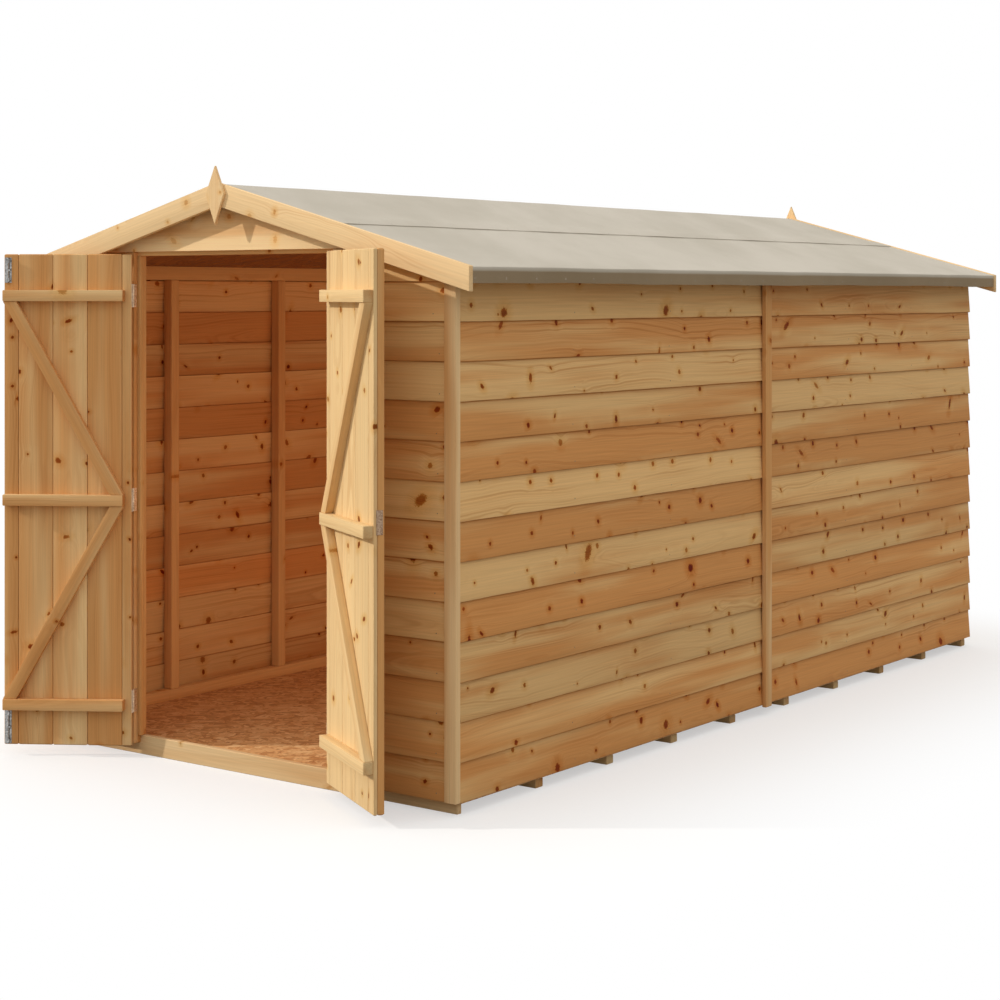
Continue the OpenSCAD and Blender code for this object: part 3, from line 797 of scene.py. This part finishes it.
def roof_line():
    """Height at the middle and fall per metre of the roof sheets' underside, from a sheet's corners."""
    corners = solids_of("roof_right_sheets")[0]
    near = corners[corners[:, 0] < corners[:, 0].mean()]
    far = corners[corners[:, 0] > corners[:, 0].mean()]
    inner = near[np.argmin(near[:, 2])]
    outer = far[np.argmin(far[:, 2])]
    fall = (inner[2] - outer[2]) / (outer[0] - inner[0])
    return inner[2] + fall * inner[0], fall


roof_mid, roof_fall = roof_line()


def posts_of(node, along):
    """Places along a wall of the upright timbers in its frame, which are those taller than they are long."""
    runs = [(corners, corners @ along) for corners in solids_of(node)]
    return np.array([run.mean() for corners, run in runs if np.ptp(corners[:, 2]) > np.ptp(run)])


nail_places = []
nail_normals = []


def clad_panel(wall, along, outward, frame_node, heart_rows, mixed_rows, under_roof=False):
    """A panel of overlap boards. Each board's section runs up its outer face, which leans in by a thickness
    for each exposed height, over the top and down the inner face to an eased lip. It is carried along the
    panel, where the lip sways, and under the roof each height of the section stops at the roof line. The
    lip's edge and the seam under the next lip are darker: painted shade under the lip, with dirt in the
    joint. A nail at each post is noted for later."""
    node = wall + "_cladding"
    corners = np.concatenate(solids_of(node))
    s, o, z = corners @ along, corners @ outward, corners[:, 2]
    tip = o.max()
    lips = np.unique(np.round(z[o > tip - MERGE], 4))
    cover = np.median(np.diff(lips))
    posts = posts_of(frame_node, along)
    heap = Heap(wall + "_boards")
    dice = heap.dice
    for row, lip in enumerate(lips):
        tall = min(cover + BOARD_LAP, z.max() - lip)
        joint = min(cover, tall * JOINT_SHARE)
        face = np.concatenate([LIP_RISES * BOARD_LIP, FACE_SHARES * tall, [joint - SEAM_RISE, joint, tall]])
        seam_top = min(BOARD_LAP + SEAM_RISE, tall * BACK_SHARES[1])
        back = np.array([tall, tall * BACK_SHARES[0], seam_top, min(BOARD_LAP, tall * BACK_SHARES[2]), 0])
        out = np.concatenate([tip - BOARD_THICK * face / cover, tip - BOARD_THICK * (1 + back / cover)])
        out[:len(LIP_INSETS)] -= BOARD_LIP * LIP_INSETS
        rise = np.concatenate([face, back])
        start = np.full(len(rise), s.min())
        stop = np.full(len(rise), s.max())
        if under_roof:
            half = np.maximum((roof_mid - lip - rise) / roof_fall, THIN_END)
            start = np.maximum(start, -half)
            stop = np.maximum(np.minimum(stop, half), start + THIN_END)
            if stop.max() - start.min() < SHORTEST_BOARD:
                continue
        count = max(3, int((stop - start).max() / BOARD_SPACING))
        share = np.linspace(0, 1, count)[:, None]
        run = start + share * (stop - start)
        sway = ripple(run[:, :1], dice, LIP_SPANS, LIP_SWAYS) * (1 - rise / tall)
        lift = np.abs(ripple(run[:, :1], dice, LIP_SPANS, LIP_LIFTS)) * (1 - rise / tall)
        height = lip + rise + sway
        rings = run[..., None] * along + (out + lift)[..., None] * outward + height[..., None] * Z_WAY
        surface = skin(rings)
        local = surface[0] - (s.min() * along + tip * outward + lip * Z_WAY)
        axes = np.stack([along, Z_WAY, outward])
        grain = local @ axes.T + heap.from_log(BOARD_REACH)
        warm = HEART_WARMTH if row in heart_rows else MIXED_WARMTH if row in mixed_rows else SAP_WARMTH
        lightness = dice.normal(0, BOARD_LIGHT_SPREAD)
        warmth = dice.normal(warm, BOARD_WARMTH_SPREAD)
        tone = np.tile((lightness, warmth, dice.uniform()), (len(grain), 1))
        # Painted shade under the lip, with dirt in the joint, darkens the seam points through the tone
        tone[:-2] += np.tile(SEAM_SHADE_AND_DIRT_SHARES, count)[:, None] * SEAM_SHADE_AND_DIRT_TONE
        heap.add(surface, grain, tone)
        nailed = posts[(posts > start.max() + NAIL_RISE) & (posts < stop.min() - NAIL_RISE)]
        nailed = nailed + dice.normal(0, NAIL_SCATTER, len(nailed))
        nail_out = tip - BOARD_THICK * NAIL_RISE / cover
        nail_places.append(nailed[:, None] * along + nail_out * outward + (lip + NAIL_RISE) * Z_WAY)
        nail_normals.append(np.broadcast_to(outward, (len(nailed), 3)))
    heap.piece(clad_finish, "cladding", "shed", node)


clad_panel("right_front", Y_WAY, X_WAY, "right_wall_frames", (0, 4, 6, 8, 11), (1, 3, 9))
clad_panel("right_rear", Y_WAY, X_WAY, "right_wall_frames", (0, 3, 7, 8, 10), (1, 2, 4, 5, 6, 11, 12))
clad_panel("left_front", Y_WAY, -X_WAY, "left_wall_frames", (3, 8, 11), (0, 1, 4, 5, 6, 7, 9, 10))
clad_panel("left_rear", Y_WAY, -X_WAY, "left_wall_frames", (4, 10), (0, 2, 3, 6, 7, 8, 9))
clad_panel("front_left", X_WAY, -Y_WAY, "front_left_frame", (1, 5), (4, 9), True)
clad_panel("front_right", X_WAY, -Y_WAY, "front_right_frame", (0, 2, 3, 9), (1, 5, 6, 8, 11), True)
clad_panel("rear", X_WAY, Y_WAY, "rear_frame", (1, 5, 8, 12), (2, 9), True)

FRAMING = (frame_finish, "framing", "shed")
TRIM = (trim_finish, "pale_trim", "shed")
LEFT_RAIL = (rail_finish, "door_wood", "left_door")
RIGHT_RAIL = (rail_finish, "door_wood", "right_door")

timbers("floor_bearer_timbers", bearer_finish, "bearer_wood", "shed", ["floor_bearers"], warm=0.1)
timbers("right_wall_timbers", *FRAMING, ["right_wall_frames"])
timbers("left_wall_timbers", *FRAMING, ["left_wall_frames"])
timbers("front_wall_timbers", *FRAMING, ["front_left_frame", "front_right_frame"])
timbers("door_head", *FRAMING, ["door_header"], warm=0.5)
timbers("rear_wall_timbers", *FRAMING, ["rear_frame"])
timbers("rafter_timbers", *FRAMING, ["front_rafters", "mid_rafters", "rear_rafters"])
timbers("door_stop_laths", *FRAMING, ["door_stops"])
timbers("joint_cover_strips", *TRIM, ["cover_strips"], warm=0.8)
timbers("front_edge_strips", *TRIM, ["front_strips"], warm=0.42)
timbers("rear_edge_strips", *TRIM, ["rear_strips"], warm=0.42)
timbers("eaves_battens_timber", bearer_finish, "framing", "shed", ["eaves_battens"])
timbers("front_bargeboards", *TRIM, ["front_barges"], warm=0.1)
timbers("rear_bargeboards", *TRIM, ["rear_barges"], warm=0.1)
# The left door's rails and struts are warmer than the right door's: painted warm shade, as the left door
# stands out of the lamp's light
timbers("left_door_rails", *LEFT_RAIL, ["left_door_ledges"], warm=0.7)
timbers("left_door_struts", *LEFT_RAIL, ["left_door_braces"], warm=0.6)
timbers("right_door_rails", *RIGHT_RAIL, ["right_door_ledges"], warm=0.05)
# The right door's struts are warmer than its rails: painted brown bounce light of their shaded side faces,
# laid over the whole strut
timbers("right_door_struts", *RIGHT_RAIL, ["right_door_braces"], warm=0.45)
timbers("right_door_edge_batten", *RIGHT_RAIL, ["right_door_batten"], warm=0.6, ease=BATTEN_EASE)
timbers("floor_boards", floor_finish, "floor_sheet", "shed", ["floor_sheets"])
timbers("roof_boards", roof_finish, "roof_sheet", "shed", ["roof_left_sheets", "roof_right_sheets"])


def plates(name, finish, slot, body, node, grain_way, warm, light=0.0):
    """A piece with one flat board for each solid of a node, whose outline runs from front to back."""
    heap = Heap(name)
    for corners in solids_of(node):
        heap.timber(corners, warm, along=Y_WAY, grain_way=grain_way, reach=PLATE_REACH,
                    spread=PLATE_WARMTH_SPREAD, light=light)
    heap.piece(finish, slot, body, node)


# The gable board is lighter and warmer than the bargeboards of the same wood: painted light under the
# barges' overhang, and painted warm bounce light in its shade
plates("gable_board", trim_finish, "cladding", "shed", "front_gable", X_WAY, warm=0.45, light=2.4)
plates("threshold_board", trim_finish, "bearer_wood", "shed", "threshold", X_WAY, warm=0.25)
plates("gable_finials", *TRIM, "finials", Z_WAY, warm=0.15, light=1.0)


def door_boards(name, body, node, joint, warm):
    """A door's upright boards. In the plan of its CAD solid the long side, away from the hinge pin, gives
    the run and the short one the thickness. Boards with eased edges meet at the joints."""
    corners = np.concatenate(solids_of(node))
    pin = np.array(next(j["pos_m"] for j in frame["joints"] if j["name"] == joint))
    plan = corners[:, :2] - pin[:2]
    run = np.linalg.svd(plan - plan.mean(0))[2][0]
    run = run * np.sign((plan @ run).mean())
    deep = np.array([-run[1], run[0]])
    deep = deep * np.sign((plan @ deep).mean())
    reach = plan @ run
    depth = plan @ deep
    joints = np.arange(reach.min() + FIRST_JOINT, reach.max() - FIRST_JOINT, DOOR_COVER)
    edges = np.concatenate([[reach.min()], joints, [reach.max()]])
    heap = Heap(name)
    for near, far in zip(edges[:-1] + JOINT_GAP / 2, edges[1:] - JOINT_GAP / 2):
        spots = np.array([[near, depth.min()], [far, depth.min()], [far, depth.max()], [near, depth.max()]])
        flat = spots @ np.stack([run, deep]) + pin[:2]
        low = points_at(*flat.T, corners[:, 2].min())
        high = points_at(*flat.T, corners[:, 2].max())
        heap.timber(np.concatenate([low, high]), warm, along=Z_WAY, ease=DOOR_EASE, reach=DOOR_REACH,
                    spread=DOOR_WARMTH_SPREAD)
    heap.piece(door_finish, "door_wood", body, node)


# The left door's boards are warmer than the right door's: painted warm shade of the door that stands out of
# the lamp's light
door_boards("left_door_planks", "left_door", "left_door_boards", "left_door_hinge", warm=0.56)
door_boards("right_door_planks", "right_door", "right_door_boards", "right_door_hinge", warm=0.13)


def thickened(path, thick):
    """Closed outline of a sheet: the path of its outer face, and the same path moved in by the thickness
    along its normals and run backwards."""
    step = np.gradient(path, axis=0)
    normal = unit(points_at(-step[:, 1], step[:, 0]))
    return np.concatenate([path, (path - normal * thick)[::-1]])


def felt_sheet(name, node, path, free_edge):
    """A length of felt: the outline of its section is carried from front to back, swells by a slow ripple,
    and its turned-down edge sways up and down. The tone tells which points are turned down."""
    low, high = box_of(node)
    heap = Heap(name)
    outline = thickened(path, FELT_THICK)
    edge = np.concatenate([free_edge, free_edge[::-1]])
    y = np.linspace(low[1], high[1], int((high[1] - low[1]) / FELT_SPACING))[:, None]
    swell = np.abs(ripple(y, heap.dice, FELT_SPANS, FELT_SWAYS)) * (1 - edge)
    sway = ripple(y, heap.dice, FELT_SPANS, FELT_EDGE_SWAYS) * edge
    surface = skin(points_at(outline[:, 0], y, outline[:, 1] + swell + sway))
    turned = np.concatenate([np.tile(edge > 0, len(y)), [False, False]])
    heap.add(surface, surface[0], turned[:, None] * X_WAY)
    heap.piece(felt_finish, "felt", "shed", node)


def eaves_path(side):
    """Section of a lower felt from the lap to the eaves: down the slope, round a bend, and straight down.
    With it goes each point's share of the edge's sway."""
    low, high = box_of("felt_right")
    inner, outer = low[0], high[0]
    slope = np.linspace(inner, outer - FELT_BEND, SLOPE_STEPS)
    down = points_at(slope, high[2] - roof_fall * (slope - inner))
    turn = np.linspace(math.pi / 2 - math.atan(roof_fall), 0, BEND_STEPS + 1)[1:]
    centre = np.array([outer - FELT_BEND, down[-1, 1] - FELT_BEND])
    bend = centre + FELT_BEND * points_at(np.cos(turn), np.sin(turn))
    drop = points_at(outer, np.linspace(bend[-1, 1], low[2], DROP_STEPS + 1)[1:])
    path = np.concatenate([down, bend, drop])
    free = np.zeros(len(path))
    free[-DROP_STEPS:] = np.linspace(1 / DROP_STEPS, 1, DROP_STEPS)
    if side < 0:
        return path[::-1] * np.array([-1, 1]), free[::-1]
    return path, free


def ridge_path():
    """Section of the ridge felt: from one lap's edge up the slope, over the ridge and down to the other's.
    Over the lower felt it lies one thickness higher. No point of it sways as a free edge."""
    edge, _, ridge = box_of("felt_ridge")[1]
    lap = box_of("felt_right")[0][0]
    up = np.concatenate([np.linspace(lap - LAP_RAMP, CROWN_OUT, SLOPE_STEPS), [CROWN_IN]])
    x = np.concatenate([np.linspace(edge, lap, LAP_STEPS), up])
    layer = np.concatenate([np.ones(LAP_STEPS), np.zeros(len(up))])
    right = points_at(x, ridge - roof_fall * x + layer * FELT_THICK)
    crown = np.array([[0.0, ridge - CROWN_DROP]])
    path = np.concatenate([right * np.array([-1, 1]), crown, right[::-1]])
    return path, np.zeros(len(path))


felt_sheet("left_felt", "felt_left", *eaves_path(-1))
felt_sheet("right_felt", "felt_right", *eaves_path(1))
felt_sheet("ridge_felt", "felt_ridge", *ridge_path())

METAL_NODES = {
    "hinge_frame_leaves": hinge_finish,
    "left_door_hinges": hinge_finish,
    "right_door_hinges": hinge_finish,
    "left_door_bolts": zinc_finish,
    "right_lock_plate": lock_finish,
}
for metal, plating in METAL_NODES.items():
    held = frame["nodes"][metal].data.materials
    held.clear()
    held.append(plating)


def heads(name, finish, slot, body, places, normals, radius, tall):
    """Nail heads: a low dome of rings round its axis, r(h) from the rim to the crown, copied to every place
    with its axis along that place's normal."""
    angle = np.linspace(0, FULL_TURN, HEAD_SIDES, endpoint=False)
    out = HEAD_SECTION[:, :1] * radius
    up = HEAD_SECTION[:, 1:] * tall
    points, quads, tris = skin(points_at(out * np.cos(angle), out * np.sin(angle), up))
    normals = unit(np.asarray(normals, float))
    side = unit(np.cross(normals, ASLANT))
    axes = np.stack([side, np.cross(normals, side), normals], 1)
    placed = np.asarray(places)[:, None] + points @ axes
    offset = (np.arange(len(placed)) * len(points))[:, None, None]
    flat = placed.reshape(-1, 3)
    heap = Heap(name)
    heap.add((flat, (quads + offset).reshape(-1, 4), (tris + offset).reshape(-1, 3)), flat, np.zeros(3))
    heap.piece(finish, slot, body)


def felt_clouts():
    """Clout nails along the felt's turned-down edges, and along the ridge felt's edges where it laps."""
    low, high = box_of("felt_right")
    rim, _, ridge = box_of("felt_ridge")[1]
    edge = rim - CLOUT_IN
    y = np.arange(low[1] + CLOUT_IN, high[1] - CLOUT_IN, CLOUT_SPACING)
    drop = points_at(high[0], y, low[2] + CLOUT_IN)
    lap = points_at(edge, y[1:] - CLOUT_SPACING / 2, ridge - roof_fall * edge + FELT_THICK)
    upward = unit(roof_fall * X_WAY + Z_WAY)
    places = np.concatenate([drop, lap])
    normals = np.concatenate([np.tile(X_WAY, (len(drop), 1)), np.tile(upward, (len(lap), 1))])
    mirror = np.array([-1, 1, 1])
    heads("felt_clouts", nail_finish, "felt", "shed", np.concatenate([places, places * mirror]),
          np.concatenate([normals, normals * mirror]), CLOUT_RADIUS, CLOUT_HEIGHT)


heads("board_nails", nail_finish, "cladding", "shed", np.concatenate(nail_places),
      np.concatenate(nail_normals), NAIL_RADIUS, NAIL_HEIGHT)
felt_clouts()

# Stage: a pale floor that fades to white, soft daylight, a low far lamp from the front left, and a warm lamp
# inside for the light that the walls throw back
WHITE = (1, 1, 1, 1)
FLOOR_RINGS = (0.5, 3.0, 12.0, 40.0)
FLOOR_SPOKES = 48
FLOOR_FADE = (0.05, 1.1)
FLOOR_GLOW = (0.5, 1.0)
FLOOR_PALE = srgb(250, 249, 247)
FLOOR_DULL = srgb(142, 137, 128)
SKY_RISE = (0.0, 0.9)
SKY_LOW = (0.58, 0.56, 0.53, 1)
SKY_HIGH = (1.10, 1.08, 1.05, 1)
LAMP_WAY = np.array([-1.33, -1.0, 0.88])
LAMP_STRENGTH = 1.84
LAMP_ANGLE = math.radians(1.2)
LAMP_COLOUR = (1.0, 0.97, 0.92)
FILL_PLACE = (0.78, -0.2, 0.95)
FILL_SIZE = (1.2, 2.8)
FILL_POWER = 8.8
FILL_COLOUR = (1.0, 0.63, 0.41)


def stage_floor():
    """A flat ring-and-spoke disc, x = r cos a and y = r sin a, under the shed. It fades to white with the
    distance from the plan of the shed's floor, and is dull to the rays that light the shed."""
    radius = np.array(FLOOR_RINGS)[:, None]
    angle = np.linspace(0, FULL_TURN, FLOOR_SPOKES, endpoint=False)
    rings = points_at(radius * np.cos(angle), radius * np.sin(angle), 0.0)
    rows, cols = rings.shape[:2]
    here = np.arange(rows * cols).reshape(rows, cols)
    beside = np.roll(here, -1, 1)
    quads = np.stack([here[:-1], here[1:], beside[1:], beside[:-1]], -1).reshape(-1, 4)
    mesh = bpy.data.meshes.new("stage_floor")
    mesh.from_pydata(rings.reshape(-1, 3), [], quads.tolist() + [list(range(cols))])
    material = bpy.data.materials.new("stage_floor")
    material.use_nodes = True
    tree = material.node_tree
    tree.nodes.remove(tree.nodes["Principled BSDF"])
    bench = Bench(tree)
    plan = np.abs(np.concatenate(solids_of("floor_sheets"))).max(0)
    beyond = bench.vector("SUBTRACT", bench.vector("ABSOLUTE", bench.place()), (plan[0], plan[1], 0))
    away = bench.length(bench.vector("MAXIMUM", beyond, (0, 0, 0)))
    fade = bench.between(bench.rise(away, FLOOR_FADE), FLOOR_GLOW)
    pale = bench.add("BsdfDiffuse", {"Color": FLOOR_PALE})[0]
    white = bench.add("Emission", {"Color": WHITE, "Strength": 1.0})[0]
    dull = bench.add("BsdfDiffuse", {"Color": FLOOR_DULL})[0]
    mixed = bench.either(bench.seen(), dull, bench.either(fade, pale, white))
    bench.feed(tree.nodes["Material Output"].inputs["Surface"], mixed)
    mesh.materials.append(material)
    floor = linked("stage_floor", mesh)


def daylight():
    """White to the camera, and to other rays a sky that is bright overhead and dimmer at the horizon."""
    world = bpy.data.worlds.new("daylight")
    bpy.context.scene.world = world
    world.use_nodes = True
    tree = world.node_tree
    bench = Bench(tree)
    height = bench.split(bench.place("Generated"))[2]
    sky = bench.blend(bench.rise(height, SKY_RISE), SKY_LOW, SKY_HIGH)
    lit = bench.add("Background", {"Color": sky, "Strength": 1.0})[0]
    white = bench.add("Background", {"Color": WHITE, "Strength": 1.0})[0]
    bench.feed(tree.nodes["World Output"].inputs["Surface"], bench.either(bench.seen(), lit, white))


def soft_lamp():
    """A far lamp whose light comes from the lamp's way, soft by its angle."""
    lamp = bpy.data.lights.new("soft_lamp", "SUN")
    lamp.energy = LAMP_STRENGTH
    lamp.angle = LAMP_ANGLE
    lamp.color = LAMP_COLOUR
    across = math.hypot(LAMP_WAY[0], LAMP_WAY[1])
    tilt = math.atan2(across, LAMP_WAY[2])
    turn = math.atan2(LAMP_WAY[1], LAMP_WAY[0]) + math.pi / 2
    linked("soft_lamp", lamp).rotation_euler = (tilt, 0, turn)


def fill_lamp():
    """A broad warm lamp inside the shed along its right wall, which the camera doesn't see."""
    lamp = bpy.data.lights.new("fill_lamp", "AREA")
    lamp.shape = "RECTANGLE"
    lamp.size, lamp.size_y = FILL_SIZE
    lamp.energy = FILL_POWER
    lamp.color = FILL_COLOUR
    holder = linked("fill_lamp", lamp)
    holder.location = FILL_PLACE
    holder.rotation_euler = (0, math.pi / 2, 0)
    holder.visible_camera = False


CAMERA_PLACE = (4.480, -6.398, 1.501)
CAMERA_TURN = 0.6403
CAMERA_LENS = 73.42
CAMERA_SENSOR = 36
CAMERA_SHIFT = (0.0019, -0.2065)


def photo_camera():
    """The camera at the photograph's place: level, with its frame shifted down."""
    data = bpy.data.cameras.new("photo_camera")
    data.lens = CAMERA_LENS
    data.sensor_width = CAMERA_SENSOR
    data.shift_x, data.shift_y = CAMERA_SHIFT
    camera = linked("photo_camera", data)
    camera.location = CAMERA_PLACE
    camera.rotation_euler = (math.pi / 2, 0, CAMERA_TURN)
    bpy.context.scene.camera = camera


stage_floor()
daylight()
soft_lamp()
fill_lamp()
photo_camera()
bpy.context.scene.view_settings.view_transform = "Standard"
